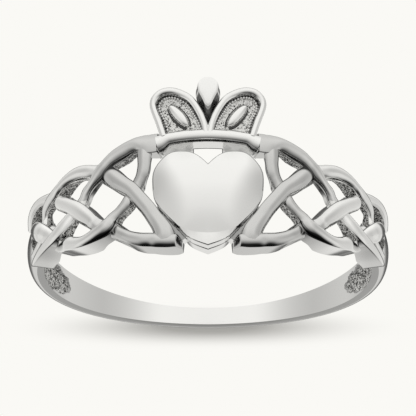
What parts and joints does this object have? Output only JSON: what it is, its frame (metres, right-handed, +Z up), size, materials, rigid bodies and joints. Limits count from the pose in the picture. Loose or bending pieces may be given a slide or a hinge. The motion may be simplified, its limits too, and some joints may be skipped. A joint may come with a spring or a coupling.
{
  "type": "claddagh ring",
  "caption": "Finger ring with a crowned heart between pierced plaited knots and a plain band round the back, cast in one piece in polished white metal.",
  "frame": {"origin": "under the middle of the ring as it lies, on the surface that it rests on", "axes": "+Z up from that surface; the heart faces -Y, with the crown downwards; +X across the finger"},
  "size_m": [0.019, 0.0204, 0.0092],
  "materials": {
    "polished_white_metal": "mirror polished precious white metal"
  },
  "bodies": {
    "root": {"cast_ring": "polished_white_metal"}
  },
  "joints": []
}
